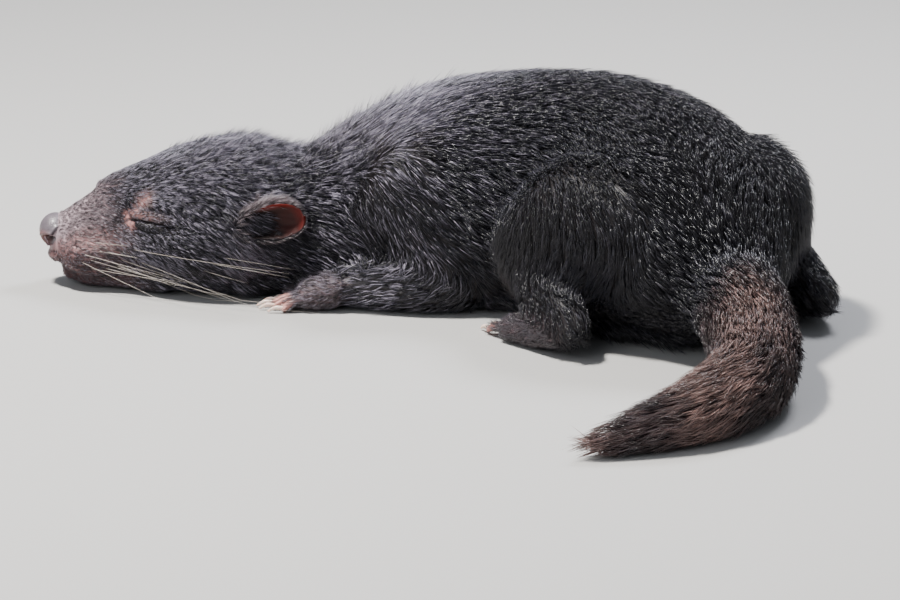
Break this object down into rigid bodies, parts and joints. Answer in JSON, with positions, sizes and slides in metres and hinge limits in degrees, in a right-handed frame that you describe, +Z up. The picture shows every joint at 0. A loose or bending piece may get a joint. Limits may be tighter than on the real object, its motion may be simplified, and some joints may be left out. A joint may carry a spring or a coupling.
{
  "type": "tasmanian devil",
  "caption": "Life-size model of a young Tasmanian devil asleep on its belly: broad head, closed eyes, laid-back ears, clawed paws beside the cheeks, curled back and thick tapering tail.",
  "frame": {"origin": "on the floor under the middle of the animal's bounding box", "axes": "+X from the nose towards the tail, +Y to the animal's right, +Z up; the left side faces -Y"},
  "size_m": [0.4314, 0.4094, 0.1261],
  "materials": {
    "black_fur": "short dense black fur",
    "tail_fur": "coarse black fur with brownish skin showing between the hairs",
    "foot_skin": "mauve-pink bare skin with short sparse hair",
    "lid_skin": "soft wrinkled skin",
    "nose_pad": "moist pebbled nose pad",
    "ear_skin": "thin bare red-pink skin",
    "claw_horn": "pale smooth horn"
  },
  "bodies": {
    "root": {"eyelids_left": "lid_skin", "ear_left": "ear_skin", "foreclaw_left_1": "claw_horn", "foreclaw_left_2": "claw_horn", "foreclaw_left_3": "claw_horn", "foreclaw_left_4": "claw_horn", "foreclaw_left_5": "claw_horn", "forepaw_left": "foot_skin", "forearm_left": "black_fur", "upper_arm_left": "black_fur", "hind_claw_left_1": "claw_horn", "hind_claw_left_2": "claw_horn", "hind_claw_left_3": "claw_horn", "hind_claw_left_4": "claw_horn", "hind_foot_left": "foot_skin", "shank_left": "black_fur", "thigh_left": "black_fur", "eyelids_right": "lid_skin", "ear_right": "ear_skin", "foreclaw_right_1": "claw_horn", "foreclaw_right_2": "claw_horn", "foreclaw_right_3": "claw_horn", "foreclaw_right_4": "claw_horn", "foreclaw_right_5": "claw_horn", "forepaw_right": "foot_skin", "forearm_right": "black_fur", "upper_arm_right": "black_fur", "hind_claw_right_1": "claw_horn", "hind_claw_right_2": "claw_horn", "hind_claw_right_3": "claw_horn", "hind_claw_right_4": "claw_horn", "hind_foot_right": "foot_skin", "shank_right": "black_fur", "thigh_right": "black_fur", "nose": "nose_pad", "lower_jaw": "black_fur", "head": "black_fur", "neck": "black_fur", "chest": "black_fur", "belly": "black_fur", "rump": "black_fur", "tail_root": "tail_fur", "tail_middle": "tail_fur", "tail_tip": "tail_fur"}
  },
  "joints": []
}
